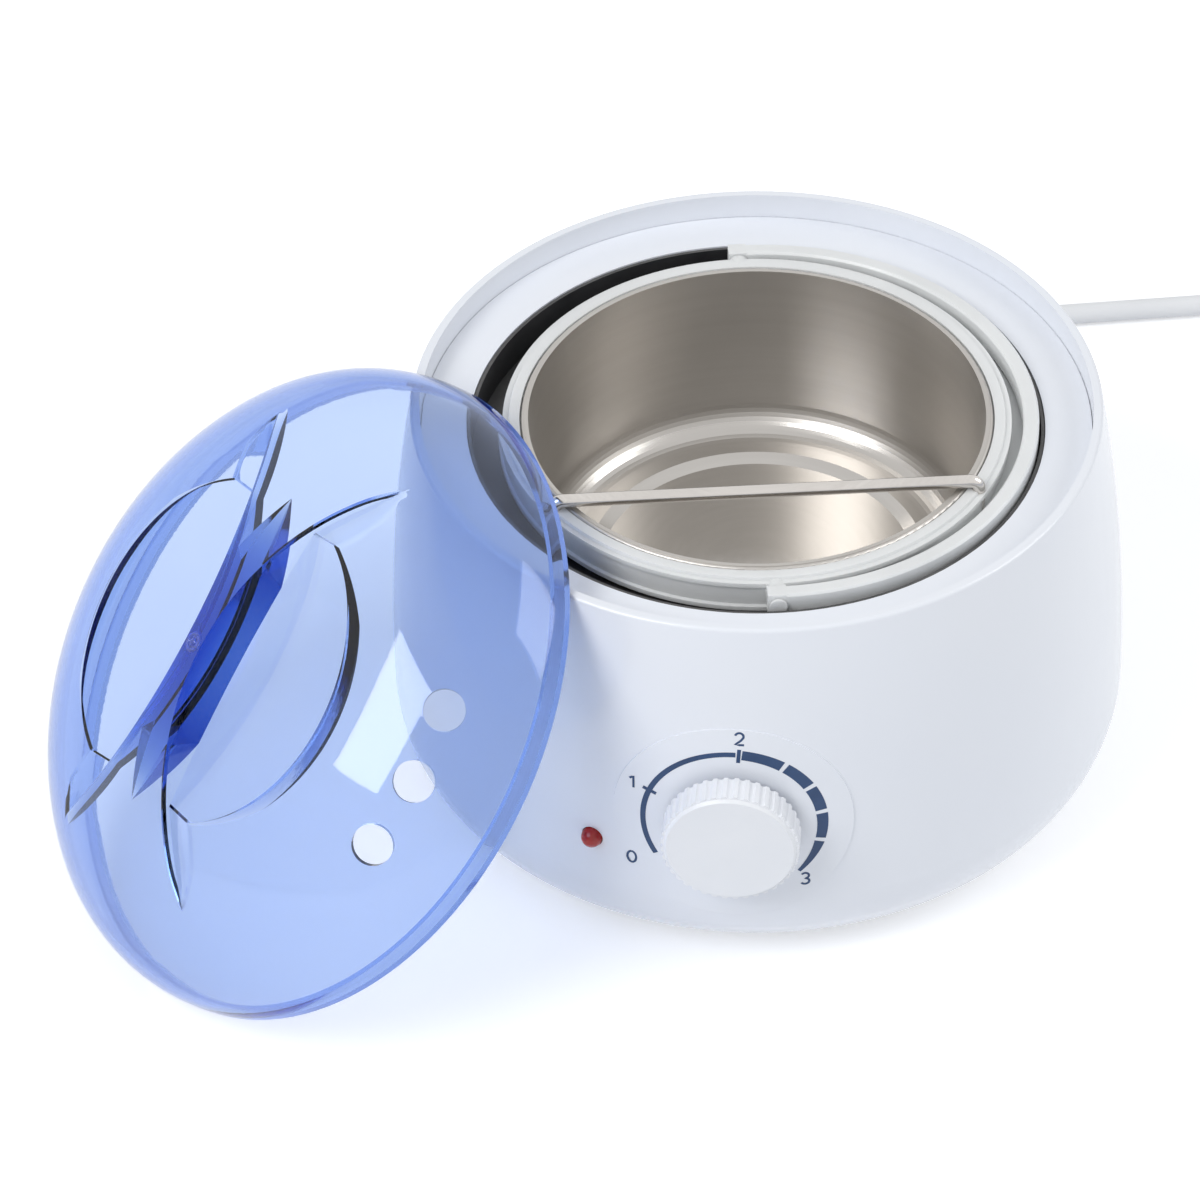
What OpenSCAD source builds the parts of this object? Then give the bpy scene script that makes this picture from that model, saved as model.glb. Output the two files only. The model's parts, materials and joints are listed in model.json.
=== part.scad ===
// Wax warmer: round heated body, lift-out pot with a swing handle, loose domed lid.
// Millimetres. Origin on the table under the body's axis, +Z up, knob towards -Y.
$fn = 96;

/* [Pot] */
// Inside diameter of the pot at its rim
pot_d = 110; // [107:0.5:112]
// Inside depth of the pot
pot_depth = 48; // [42:0.5:50]
// Sheet thickness of the pot
pot_wall = 0.9; // [0.7:0.05:1.2]
// Height of the pot rim above the sunk ledge
pot_proud = 2.9; // [2:0.1:4]
// Angle by which the pot is turned in its well
pot_turn = 8; // [0:1:12]
// Width of the plastic collar
collar_w = 4.1; // [3.8:0.1:4.6]
// Height of the plastic collar
collar_h = 9; // [8.6:0.1:10]
// Width of the swing handle
handle_w = 3.8; // [3.2:0.1:4.2]
// Diameter of the wiper bar
bar_d = 3.2; // [2.6:0.1:3.4]
// Distance of the wiper bar from the pot's rim
bar_in = 24; // [20:0.5:28]

/* [Body] */
// Largest diameter of the body
body_d = 180; // [177:0.5:186]
// Height of the top edge above the table
body_h = 106; // [103:0.5:110]
// Rounding of the lower edge
corner_r = 24.5; // [23:0.5:26]
// Wall of the mouldings
wall = 2.6; // [2.2:0.1:2.9]
// Width of the top edge
lip_w = 2.2; // [1.8:0.1:2.8]
// Depth of the sunk ledge below the top edge
lip_drop = 6.7; // [6:0.1:7.5]
// Width of the sunk ledge that seats the lid
ledge_w = 11.4; // [11:0.1:12.5]
// Height of the rubber ring under the base
foot_h = 2.2; // [1.6:0.1:3]

/* [Controls] */
// Diameter of the knob
knob_d = 32.6; // [28:0.2:36]
// Depth of the knob
knob_h = 7.4; // [6.8:0.1:9]
// Height of the knob's axis above the table
knob_z = 50.7; // [48:0.1:54]
// Number of grooves round the knob
knob_grooves = 40; // [24:1:44]
// Diameter of the round dial field
dial_d = 56.8; // [50:0.2:58]
// Diameter of the indicator lamp
lamp_d = 5.2; // [4:0.1:6]
// Angle of the lamp round the body from the knob
lamp_turn = 22; // [20:0.5:30]
// Height of the lamp above the table
lamp_z = 39.4; // [36:0.2:44]

/* [Lid] */
// Wall of the lid
lid_wall = 2; // [1.8:0.1:2.4]
// Radius of the lid's lower side arc
lid_arc = 28.2; // [26:0.2:30]
// Radius of the lid's shoulder arc
lid_mid = 48.8; // [44:0.2:52]
// Width of the grip ridge between the two finger pockets
ridge_w = 6; // [5:0.1:8]
// Depth of the finger pockets
pocket_depth = 11; // [9:0.5:12]
// Distance of the pockets' outer edge from the lid's axis
pocket_reach = 43.5; // [40:0.5:46]
// Diameter of the lid's vent holes
vent_d = 9.6; // [7:0.2:11]
// Distance of the vent holes from the lid's edge
vent_in = 10; // [9:0.2:12]
// Direction in which the lid leans away from the body
lid_side = 210.4; // [206:0.2:214]
// Turn of the lid about its own axis
lid_spin = 20; // [10:1:24]

/* [Cord] */
// Diameter of the mains cord
cord_d = 5.5; // [5:0.1:5.8]
// Length of the strain relief outside the body
gland_len = 27; // [24:0.5:32]
// Loops in each layer of the coil
coil_loops = 2.25; // [1.25:1:3.25]

/* [Hidden] */

// Clearances
loose = 0.3;
snug = 0.15;
slip = 0.05;
over = 1;

// Levels
ledge_z = body_h - lip_drop;
ring_t = 2.4;
seat_z = ledge_z - ring_t;
rim_z = ledge_z + pot_proud;
floor_z = rim_z - pot_depth;
pot_base_z = floor_z - pot_wall;

// Pot, collar and handle radii, from the inside out
pot_r = pot_d/2;
bead_r = 0.8;
rim_out = pot_r + pot_wall + bead_r;
collar_in = rim_out + loose;
collar_r = collar_in + collar_w;
collar_top = rim_z - 0.2;
collar_low = collar_top - collar_h;
boss_w = 1;
handle_in = collar_r + boss_w + loose;
handle_out = handle_in + handle_w;
handle_shift = 1.5;
handle_h = 5.8;
pin_z = collar_top - handle_h/2;
pin_r = 1.3;
pin_head = 0.7;
shelf_t = 1.2;
bar_r = bar_d/2;
bar_off = pot_r - bar_in;
bar_z = rim_z + bar_r + loose;
hook_at = (collar_in + collar_r)/2;
bar_half = round(100*sqrt(hook_at*hook_at - bar_off*bar_off))/100;
bend_r = bar_r + 0.45;

// Well and ledge radii
well_t = 1.2;
well_rim_t = 0.8;
well_rim_in = max(handle_out + handle_shift, handle_out + snug + pin_head) + 0.5;
well_rim_out = well_rim_in + well_rim_t;
well_in = pot_r + pot_wall + 1.4;
well_step_z = collar_low - 3;
opening_r = well_rim_out + 0.2;
stud_r = 3.3;
stud_at = well_rim_out + loose + stud_r;
stud_h = 6;
lip_r = opening_r + ledge_w;
seat_in = stud_at + stud_r + loose;

// Body outline
body_r = body_d/2;
wide_z = foot_h + corner_r;
rise = body_h - wide_z;
fall = body_r - lip_r - lip_w;
side_r = (rise*rise + fall*fall)/(2*fall);
side_x = body_r - side_r;
edge_r = 1;
edge_x = side_x + sqrt(pow(side_r - edge_r, 2) - pow(rise - edge_r, 2));
edge_z = body_h - edge_r + edge_r*(rise - edge_r)/(side_r - edge_r);
function side_at(z) = side_x + sqrt(side_r*side_r - pow(z - wide_z, 2));
function corner_at(z) = body_r - corner_r + sqrt(corner_r*corner_r - pow(wide_z - z, 2));

// Base
base_t = 3;
base_r = body_r - corner_r - 3.5;
base_top = foot_h + base_t;
land_in = base_r - 8;
screw_at = base_r - 4;
screw_r = 1.5;
screw_len = 9;
foot_rim = 11;
foot_w = 6;
foot_out = base_r - foot_rim;
foot_in = foot_out - foot_w;
foot_sunk = 1;
slot_rows = [16, 24];
slot_size = [6, 2.4];

// Controls
dial_raise = 0.35;
boss_y = side_at(knob_z) - wall - 4.5;
bush_r = 4.9;
shaft_r = 3;
nut_t = 2;
nut_r = 7.2;
nut_y = side_at(knob_z - nut_r) + dial_raise + slip;
bush_y = nut_y + nut_t + 0.4;
knob_y = side_at(knob_z - knob_d/2) + dial_raise + loose;
hub_y = bush_y + 0.4;
knob_plate = 2.4;
thermo_r = 13;
thermo_t = 13;
lamp_r = lamp_d/2;
lamp_y = side_at(lamp_z);
holder_w = 1.8;
holder_r = lamp_r + holder_w;
holder_y = sqrt(pow(side_at(lamp_z + holder_r) - wall, 2) - pow(holder_r, 2)) - snug;

// Heater and wiring
heater_t = 3;
heater_z = pot_base_z - well_t - heater_t;
element_t = 1.5;
element_w = 7;
element_in = 26;
heater_in = 12;
fuse_r = 2;
sleeve_in = well_in + well_t + loose;
sleeve_t = 6;
block_y = 34;
block_size = [24, 12, 11];
block_pitch = 8;
lead_r = 1.1;
lead_rise = 7;

// Lid outline: three arcs, band at the rim, two pockets with lens-shaped walls and a rounded floor
lid_r = lip_r - 0.6;
lid_band = 1.5;
lid_a = 40;
lid_b = 72;
lid_c3 = [lid_r - lid_arc, lid_band];
lid_c2 = lid_c3 + (lid_arc - lid_mid)*[cos(lid_a), sin(lid_a)];
lid_top = lid_mid + lid_c2[0]/cos(lid_b);
lid_c1 = lid_c2 + (lid_mid - lid_top)*[cos(lid_b), sin(lid_b)];
lid_h = lid_c1[1] + lid_top;
bead_w = 3.2;
bead_h = 4;
lens_in = 85;
lens_out = 40;
lens_floor = 120;
vent_at = lid_r - vent_in;
vent_step = 14.6;

// Lid leaning: its top edge stays out of the pot's way up, and its rim just clears the body's edge
way_r = collar_r + 0.4;
rim_pad = 2.25;
crest = [lip_r + lip_w/2, body_h - lip_w/2];
function lean_reach(t) = way_r + lid_r*cos(t);
function rim_spot(t, p) = let (q = (lid_r - 1.5)*cos(p))
    [lean_reach(t) + 1.5*sin(t) - q*cos(t), (lid_r - 1.5)*sin(p), lid_r*sin(t) + 1.5*cos(t) + q*sin(t)];
function spot_gap(s) = norm([norm([s[0], s[1]]) - crest[0], s[2] - crest[1]]) - rim_pad - lip_w/2;
function lean_gap(t) = min([for (p = [0:1:90]) spot_gap(rim_spot(t, p))]);
function lean(lo, hi, n) = let (m = (lo + hi)/2)
    n == 0 ? hi : lean_gap(m) < loose ? lean(m, hi, n - 1) : lean(lo, m, n - 1);
lid_tilt = lean(asin(body_h/(2*lid_r)) + 4, 75, 16);

// Cord route, from the tip of the strain relief to the coil
cord_r = cord_d/2;
gland_r = cord_r + 1.75;
gland_flange = 1.5;
gland_z = base_top + wall + gland_r + gland_flange + 0.2;
gland_y = corner_at(gland_z) + gland_len;
gland_back = corner_at(gland_z) - 13.4;
tie_t = 1.2;
coil_z = cord_r + tie_t + loose;
drop_points = [[0, 0, 1], [0, 6, 1], [0, 11, 0.99], [0, 16, 0.95], [2, 26, 0.79], [7, 35, 0.55],
    [15, 41.5, 0.3], [25, 45, 0.1], [38, 47.5, 0.01], [52, 50, 0], [66, 52.5, 0], [80, 55, 0], [94, 57.5, 0],
    [108, 60, 0], [122, 62.5, 0]];
lift_points = [[136, 65, 0.1], [150, 67.5, 0.8], [157, 68.75, 1], [164, 70, 1]];
lead_path = concat(
    [for (p = drop_points) [p[0], gland_y + p[1], cord_r + (gland_z - cord_r)*p[2]]],
    [for (p = lift_points) [p[0], gland_y + p[1], cord_r + (coil_z - cord_r)*p[2]]]);
coil_from = lead_path[len(lead_path) - 1];
coil_way = atan2(2.5, 14);
coil_dir = [cos(coil_way), sin(coil_way), 0];

// Coil: two layers, in along the table and out on top, the climb in the reversing half turn
coil_pitch = cord_d + 0.75;
coil_layer = cord_d + 0.65;
coil_in = 4.2*cord_d;
coil_out = coil_in + coil_pitch*coil_loops;
coil_mid = coil_from + cord_d*coil_dir + coil_out*[-coil_dir[1], coil_dir[0], 0];
coil_tail = 40;
plug_t = 13.7;
turn_in = 360*coil_loops;
turn_up = turn_in + 180;
turn_all = turn_up + turn_in;
function coil_rad(a) = a < turn_in ? coil_out - coil_pitch*a/360
    : a > turn_up ? coil_in + coil_pitch*(a - turn_up)/360 : coil_in - 1.3*pow(sin(a - turn_in), 2);
function coil_rise(a) = a < turn_in ? 0 : a > turn_up ? coil_layer : coil_layer*(1 - cos(a - turn_in))/2;
coil_turns = [for (i = [0:turn_all/15]) let (a = i*15, b = a + coil_way - 90)
    coil_mid + [coil_rad(a)*cos(b), coil_rad(a)*sin(b), coil_rise(a)]];
coil_to = coil_turns[len(coil_turns) - 1];
plug_from = [coil_to[0], coil_to[1], plug_t/2] + coil_tail*coil_dir;
tail_turns = [for (i = [0:6]) coil_to + (coil_tail - 28 + 4*i)*coil_dir
    - [0, 0, (coil_to[2] - plug_from[2])*(1 - cos(30*i))/2]];
coil_path = concat([coil_from], coil_turns, [coil_to + cord_d*coil_dir], tail_turns, [plug_from]);
coil_gap = min([for (i = [0:len(coil_path) - 13]) for (j = [i + 12:len(coil_path) - 1])
    norm(coil_path[i] - coil_path[j])]) - cord_d;
echo(coil_gap = coil_gap);

// Round tube along a list of points, its end rings square to the first and last stretch
function unit(v) = v/norm(v);
function way(p, i) = unit(p[min(i + 1, len(p) - 1)] - p[max(i - 1, 0)]);
function ring(p, i, r, n) = let (t = way(p, i), s = unit(cross(t, [0, 0, 1])), u = cross(s, t))
    [for (k = [0:n - 1]) p[i] + r*(cos(360*(k + 0.5)/n)*s + sin(360*(k + 0.5)/n)*u)];
module tube(p, r, n) {
    pts = [for (i = [0:len(p) - 1]) each ring(p, i, r, n)];
    last = (len(p) - 1)*n;
    skin = [for (i = [0:len(p) - 2]) for (k = [0:n - 1])
        [i*n + k, i*n + (k + 1)%n, (i + 1)*n + (k + 1)%n, (i + 1)*n + k]];
    caps = [[for (k = [n - 1:-1:0]) k], [for (k = [0:n - 1]) last + k]];
    polyhedron(pts, concat(skin, caps), convexity = 10);
}

// Arc as a list of points
function arc(x, z, r, a, b, n) = [for (i = [0:n]) [x + r*cos(a + (b - a)*i/n), z + r*sin(a + (b - a)*i/n)]];

// Rod between two points
module rod(a, b, r) {
    d = b - a;
    translate(a)
        rotate([0, acos(d[2]/norm(d)), atan2(d[1], d[0])])
            cylinder(h = norm(d), r = r, $fn = 32);
}

// Local frames
module at_pot() rotate([0, 0, pot_turn]) children();
module at_knob(y) translate([0, -y, knob_z]) rotate([90, 0, 0]) children();
module at_lamp(y) rotate([0, 0, -90 - lamp_turn]) translate([y, 0, lamp_z]) rotate([0, 90, 0]) children();
module at_gland(y) translate([0, y, gland_z]) rotate([-90, 0, 0]) children();
module at_lid()
    rotate([0, 0, lid_side])
        translate([lean_reach(lid_tilt), 0, lid_r*sin(lid_tilt)])
            rotate([0, lid_tilt, 0]) rotate([0, 0, 90 + lid_spin]) children();
module around(n, r, a = 45)
    for (i = [0:n - 1]) rotate([0, 0, a + 360*i/n]) translate([r, 0, 0]) children();

// Half section of the body grown by g, from the table side up
module body_section(g) {
    translate([0, foot_h - g]) square([body_r - corner_r, corner_r + g]);
    intersection() {
        translate([body_r - corner_r, wide_z]) circle(r = corner_r + g);
        translate([body_r - corner_r, foot_h - g]) square([corner_r + g, corner_r + g]);
    }
    intersection() {
        translate([side_x, wide_z]) circle(r = side_r + g, $fn = 720);
        translate([0, wide_z]) square([body_r + g, edge_z - wide_z]);
    }
}
module body_edge() {
    intersection() {
        translate([edge_x, body_h - edge_r]) circle(r = edge_r);
        translate([edge_x, edge_z]) square([edge_r, body_h - edge_z]);
    }
    translate([0, edge_z]) square([edge_x, body_h - edge_z]);
}
module body_hollow() {
    intersection() {
        body_section(-wall);
        translate([0, base_top + wall]) square([body_r, seat_z - 2.6 - base_top - wall]);
    }
    translate([0, seat_z - 2.7]) square([seat_in, 2.7 + over]);
    translate([0, seat_z]) square([lip_r, body_h - seat_z + over]);
    translate([0, foot_h - over]) square([base_r + snug, base_t + over]);
    translate([0, foot_h]) square([land_in, base_t + wall + over]);
}

module body_shell() color([0.95, 0.96, 0.98]) difference() {
    union() {
        rotate_extrude() difference() {
            union() {
                body_section(0);
                body_edge();
            }
            body_hollow();
        }
        intersection() {
            at_knob(body_r - 20) cylinder(h = 40, d = dial_d);
            rotate_extrude() difference() {
                body_section(dial_raise);
                body_section(-wall/2);
            }
        }
        at_knob(boss_y) cylinder(h = side_at(knob_z) - wall/2 - boss_y, r = bush_r + 4);
        around(4, screw_at) translate([0, 0, base_top]) cylinder(h = screw_len + 1, r = screw_r + 2);
    }
    at_knob(boss_y - over) cylinder(h = 20, r = bush_r + snug);
    at_lamp(lamp_y - 10) cylinder(h = 20, r = lamp_r + snug);
    at_gland(gland_back) cylinder(h = 40, r = gland_r + snug);
    around(4, screw_at) translate([0, 0, foot_h]) cylinder(h = screw_len + 2, r = screw_r + slip);
}

module top_ring() color([0.94, 0.95, 0.97]) difference() {
    union() {
        rotate_extrude() translate([opening_r, seat_z]) square([lip_r - snug - opening_r, ring_t]);
        around(4, stud_at) translate([0, 0, seat_z - stud_h]) cylinder(h = stud_h + 1, r = stud_r);
    }
    around(4, stud_at) translate([0, 0, seat_z - stud_h - over])
        cylinder(h = stud_h + over, r = screw_r + slip);
}

module base_plate() color([0.9, 0.91, 0.93]) difference() {
    translate([0, 0, foot_h]) cylinder(h = base_t - slip, r = base_r);
    translate([0, 0, foot_h - over]) difference() {
        cylinder(h = foot_sunk + over, r = foot_out + slip);
        cylinder(h = foot_sunk + over, r = foot_in - slip);
    }
    around(4, screw_at) translate([0, 0, foot_h - over])
        cylinder(h = base_t + 2*over, r = screw_r + snug);
    around(4, screw_at) translate([0, 0, foot_h - over]) cylinder(h = 1.6 + over, r = 2*screw_r + snug);
    for (r = slot_rows) around(12, r, 0) translate([-slot_size[0]/2, -slot_size[1]/2, foot_h - over])
        cube([slot_size[0], slot_size[1], base_t + 2*over]);
}

module foot_ring() color([0.2, 0.2, 0.21]) difference() {
    cylinder(h = foot_h + foot_sunk - slip, r = foot_out);
    translate([0, 0, -over]) cylinder(h = foot_h + 2*over, r = foot_in);
}

module base_screws() color([0.7, 0.7, 0.72]) around(4, screw_at) {
    translate([0, 0, foot_h + 0.2]) cylinder(h = 1.35, r = 2*screw_r);
    translate([0, 0, foot_h + 1]) cylinder(h = screw_len, r = screw_r);
}

module heating_well() color([0.07, 0.07, 0.075]) difference() {
    union() {
        translate([0, 0, pot_base_z - well_t]) cylinder(h = well_step_z - pot_base_z, r = well_in + well_t);
        translate([0, 0, well_step_z - well_t])
            cylinder(h = ledge_z - loose - well_step_z + well_t, r = well_rim_out);
        translate([0, 0, seat_z - stud_h - well_t]) cylinder(h = well_t, r = stud_at + stud_r - 0.2);
    }
    translate([0, 0, pot_base_z]) cylinder(h = 60, r = well_in);
    translate([0, 0, well_step_z]) cylinder(h = 40, r = well_rim_in);
    around(4, stud_at) translate([0, 0, seat_z - stud_h - 2*well_t])
        cylinder(h = 3*well_t, r = screw_r + snug);
}

module well_screws() color([0.7, 0.7, 0.72]) around(4, stud_at) {
    translate([0, 0, seat_z - stud_h - well_t - 1.6]) cylinder(h = 1.6, r = 2*screw_r - 0.2);
    translate([0, 0, seat_z - stud_h - well_t - 1]) cylinder(h = stud_h + well_t - 0.5, r = screw_r);
}

module heater_plate() color([0.55, 0.53, 0.5]) union() {
    translate([0, 0, heater_z]) cylinder(h = heater_t, r = well_in - heater_in);
    translate([0, 0, heater_z - element_t])
        rotate_extrude() translate([well_in - element_in, 0]) square([element_w, element_t + 0.5]);
}

module insulation_sleeve() color([0.86, 0.84, 0.76]) difference() {
    translate([0, 0, pot_base_z]) cylinder(h = well_step_z - 2*well_t - pot_base_z, r = sleeve_in + sleeve_t);
    translate([0, 0, pot_base_z - over]) cylinder(h = 60, r = sleeve_in);
    at_knob(boss_y - thermo_t - loose) cylinder(h = thermo_t, r = thermo_r + loose);
}

module thermal_fuse() color([0.75, 0.68, 0.5])
    translate([-8, -12, heater_z - fuse_r - snug]) rotate([0, 90, 0]) {
        cylinder(h = 16, r = fuse_r);
        translate([0, 0, -4]) cylinder(h = 24, r = 0.6);
    }

module thermostat() color([0.3, 0.3, 0.32]) difference() {
    union() {
        at_knob(boss_y - thermo_t) cylinder(h = thermo_t, r = thermo_r);
        at_knob(boss_y - 1) cylinder(h = bush_y - boss_y + 1, r = bush_r);
        for (x = [-6, 6]) translate([x - 2, 2 - boss_y, knob_z - thermo_r - 4]) cube([4, 1, 8]);
    }
    at_knob(boss_y - 8) cylinder(h = 40, r = shaft_r + slip);
}

module thermostat_nut() color([0.75, 0.75, 0.77]) at_knob(nut_y) difference() {
    cylinder(h = nut_t, r = nut_r, $fn = 6);
    translate([0, 0, -over]) cylinder(h = nut_t + 2*over, r = bush_r + slip);
}

module control_knob() color([0.97, 0.97, 0.98]) at_knob(knob_y) difference() {
    union() {
        linear_extrude(knob_h - 0.7) difference() {
            circle(d = knob_d);
            for (i = [0:knob_grooves - 1]) rotate(360*i/knob_grooves)
                translate([knob_d/2 + 0.3, 0]) circle(r = 0.85);
        }
        translate([0, 0, knob_h - 0.8]) cylinder(h = 0.8, r1 = knob_d/2 - 0.6, r2 = knob_d/2 - 1.3);
    }
    translate([0, 0, -over]) difference() {
        cylinder(h = knob_h - knob_plate + over, r = knob_d/2 - 2.4);
        translate([0, 0, hub_y - knob_y + over]) cylinder(h = knob_h, r = shaft_r + 2.2);
    }
    cylinder(h = knob_h - 1, r = shaft_r + slip);
}

module knob_shaft() color([0.8, 0.8, 0.82])
    at_knob(boss_y - 7.6) cylinder(h = knob_y + knob_h - 1.3 - boss_y + 7.6, r = shaft_r);

module lamp_lens() color([0.8, 0.05, 0.04]) union() {
    at_lamp(holder_y - 5) cylinder(h = lamp_y + 0.3 - holder_y + 5, r = lamp_r);
    at_lamp(lamp_y + 0.3) difference() {
        sphere(r = lamp_r - slip);
        translate([0, 0, -lamp_d - 0.1]) cube(2*lamp_d, center = true);
    }
}

module lamp_holder() color([0.85, 0.85, 0.83]) difference() {
    at_lamp(holder_y - 8) cylinder(h = 8, r = holder_r);
    at_lamp(holder_y - 5 - slip) cylinder(h = 8, r = lamp_r + slip);
}

module terminal_block() color([0.88, 0.87, 0.82]) difference() {
    translate([-block_size[0]/2, block_y - block_size[1]/2, base_top]) cube(block_size);
    for (i = [-1:1]) translate([i*block_pitch, block_y, base_top + block_size[2]/2])
        cylinder(h = block_size[2], r = 2*lead_r);
}

module inner_leads() color([0.62, 0.6, 0.58]) {
    low = base_top + lead_rise;
    y0 = block_y - block_size[1]/2;
    y1 = -boss_y + 5;
    for (x = [-6, 6]) {
        rod([x, y0 - slip, low], [x, y1, low], lead_r);
        translate([x, y1, low]) sphere(r = lead_r + 0.5, $fn = 32);
        rod([x, y1, low], [x, y1, knob_z - thermo_r - slip], lead_r);
    }
    for (x = [-4, 4])
        rod([x, block_y, base_top + block_size[2]], [x, block_y, heater_z - element_t - slip], lead_r);
    rod([0, block_y + block_size[1]/2 + slip, gland_z], [0, gland_back - slip, gland_z], cord_r - 0.2);
}

module cord_gland() color([0.9, 0.91, 0.93]) at_gland(gland_back) difference() {
    union() {
        cylinder(h = 3, r = gland_r + gland_flange);
        cylinder(h = corner_at(gland_z) + 5 - gland_back, r = gland_r);
        translate([0, 0, corner_at(gland_z) + 5 - gland_back])
            cylinder(h = gland_len - 5, r1 = gland_r, r2 = cord_r + 0.7);
        for (i = [0:3]) translate([0, 0, corner_at(gland_z) + 7 + 4.5*i - gland_back])
            cylinder(h = 2, r = gland_r + 0.35 - 0.18*i);
    }
    translate([0, 0, -over]) cylinder(h = 2*over, r = cord_r - 1);
}

module cord_lead() color([0.93, 0.94, 0.96]) tube(lead_path, cord_r, 10);

module cord_coil() color([0.93, 0.94, 0.96]) tube(coil_path, cord_r, 6);

module coil_tie() color([0.25, 0.25, 0.27])
    translate([coil_mid[0], coil_mid[1], 0]) rotate([0, 0, coil_way + 90]) {
        a = coil_in - cord_r - 1.3 - loose;
        b = coil_out + cord_r + loose;
        top = coil_z + coil_layer + cord_r + loose;
        difference() {
            translate([a - tie_t, -3, 0]) cube([b - a + 2*tie_t, 6, top + tie_t]);
            translate([a, -4, tie_t]) cube([b - a, 8, top - tie_t]);
        }
    }

module at_plug() translate(plug_from) rotate([0, 0, coil_way]) children();

module plug_body() color([0.93, 0.94, 0.96]) at_plug() {
    rotate([0, 90, 0]) cylinder(h = 17, r1 = cord_r + 0.6, r2 = cord_r + 2.2);
    translate([0, 0, -plug_t/2]) linear_extrude(plug_t) difference() {
        polygon([[14, -8], [22, -14], [40, -17.6], [50, -17.6], [50, 17.6], [40, 17.6], [22, 14], [14, 8]]);
        for (y = [-24, 24]) translate([28, y]) circle(r = 9.5);
    }
}

module plug_pins() color([0.85, 0.85, 0.86]) at_plug() for (y = [-9.3, 9.3])
    translate([50, y, 0]) rotate([0, 90, 0]) {
        cylinder(h = 18, r = 2);
        translate([0, 0, 18]) cylinder(h = 1, r1 = 2, r2 = 1.3);
    }

// Half section of the pot's inside, grown by g
module pot_section(g) {
    foot_r = pot_r - 10.6;
    polygon(concat(
        [[0, floor_z - g], [foot_r - 6, floor_z - g], [foot_r - 3, floor_z + 1.4 - g]],
        arc(foot_r, floor_z + 9.4, 8 + g, -90, -10, 10),
        [[pot_r + g, rim_z + (g > 0 ? 0 : over)], [0, rim_z + (g > 0 ? 0 : over)]]));
}

module pot_bowl() color([0.72, 0.71, 0.69]) union() {
    difference() {
        rotate_extrude() pot_section(pot_wall);
        rotate_extrude() pot_section(0);
    }
    translate([0, 0, rim_z - bead_r])
        rotate_extrude() translate([pot_r + pot_wall + 0.1, 0]) circle(r = bead_r - 0.1);
}

module pot_collar() color([0.86, 0.87, 0.88]) at_pot() difference() {
    union() {
        rotate_extrude() polygon([
            [collar_in, collar_top], [collar_in + 2.5, collar_top], [collar_in + 2.8, collar_top - 0.7],
            [collar_r, collar_top - 0.7], [collar_r, collar_top - 2], [collar_r - 0.6, collar_top - 2.4],
            [collar_r - 0.6, collar_low + 1.6], [collar_r, collar_low + 1.2], [collar_r, collar_low],
            [pot_r + pot_wall + snug, collar_low], [pot_r + pot_wall + snug, rim_z - 2*bead_r - snug],
            [collar_in, rim_z - 2*bead_r - snug]]);
        translate([0, 0, collar_top - handle_h - snug - shelf_t]) rotate([0, 0, -50])
            rotate_extrude(angle = 100) translate([collar_r - 1, 0]) square([4, shelf_t]);
        for (s = [-90, 90]) rotate([0, 0, s]) translate([collar_r - 1.5, 0, pin_z])
            rotate([0, 90, 0]) cylinder(h = 1.5 + boss_w, r = 2.6);
    }
    for (s = [-90, 90]) rotate([0, 0, s]) translate([collar_in + 1, 0, pin_z])
        rotate([0, 90, 0]) cylinder(h = 10, r = pin_r + slip);
    for (s = [-1, 1]) translate([s*bar_half, -bar_off, collar_top - 6]) cylinder(h = 10, r = bar_r + slip);
}

module pot_handle() color([0.88, 0.89, 0.9]) at_pot() difference() {
    translate([0, 0, collar_top - handle_h]) union() {
        translate([handle_shift, 0, 0]) rotate([0, 0, -90]) rotate_extrude(angle = 180)
            translate([handle_in, 0]) polygon([[0, 0.5], [0.5, 0], [handle_w - 0.5, 0],
                [handle_w, 0.5], [handle_w, handle_h - 0.5], [handle_w - 0.5, handle_h],
                [0.5, handle_h], [0, handle_h - 0.5]]);
        for (s = [-1, 1]) translate([-2.4, s*(handle_in + handle_w/2) - handle_w/2, 0])
            cube([2.4 + handle_shift + 0.5, handle_w, handle_h]);
    }
    translate([0, handle_out + over, pin_z]) rotate([90, 0, 0])
        cylinder(h = 2*(handle_out + over), r = pin_r + slip);
}

module handle_pins() color([0.75, 0.75, 0.77]) at_pot() for (s = [-90, 90])
    rotate([0, 0, s]) translate([0, 0, pin_z]) rotate([0, 90, 0]) {
        translate([0, 0, collar_in + 1.1]) cylinder(h = handle_out + snug - collar_in - 1, r = pin_r);
        translate([0, 0, handle_out + snug]) cylinder(h = pin_head, r = 2.1);
    }

module wiper_bar() color([0.8, 0.79, 0.77]) at_pot() translate([0, -bar_off, 0]) {
    translate([bend_r - bar_half, 0, bar_z]) rotate([0, 90, 0])
        cylinder(h = 2*(bar_half - bend_r), r = bar_r, $fn = 32);
    for (s = [0, 180]) rotate([0, 0, s]) {
        translate([bar_half - bend_r, 0, bar_z - bend_r]) rotate([90, 0, 0])
            rotate_extrude(angle = 90, $fn = 64) translate([bend_r, 0]) circle(r = bar_r, $fn = 32);
        translate([bar_half, 0, collar_top - 5.9])
            cylinder(h = bar_z - bend_r - collar_top + 5.9, r = bar_r, $fn = 32);
    }
}

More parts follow.
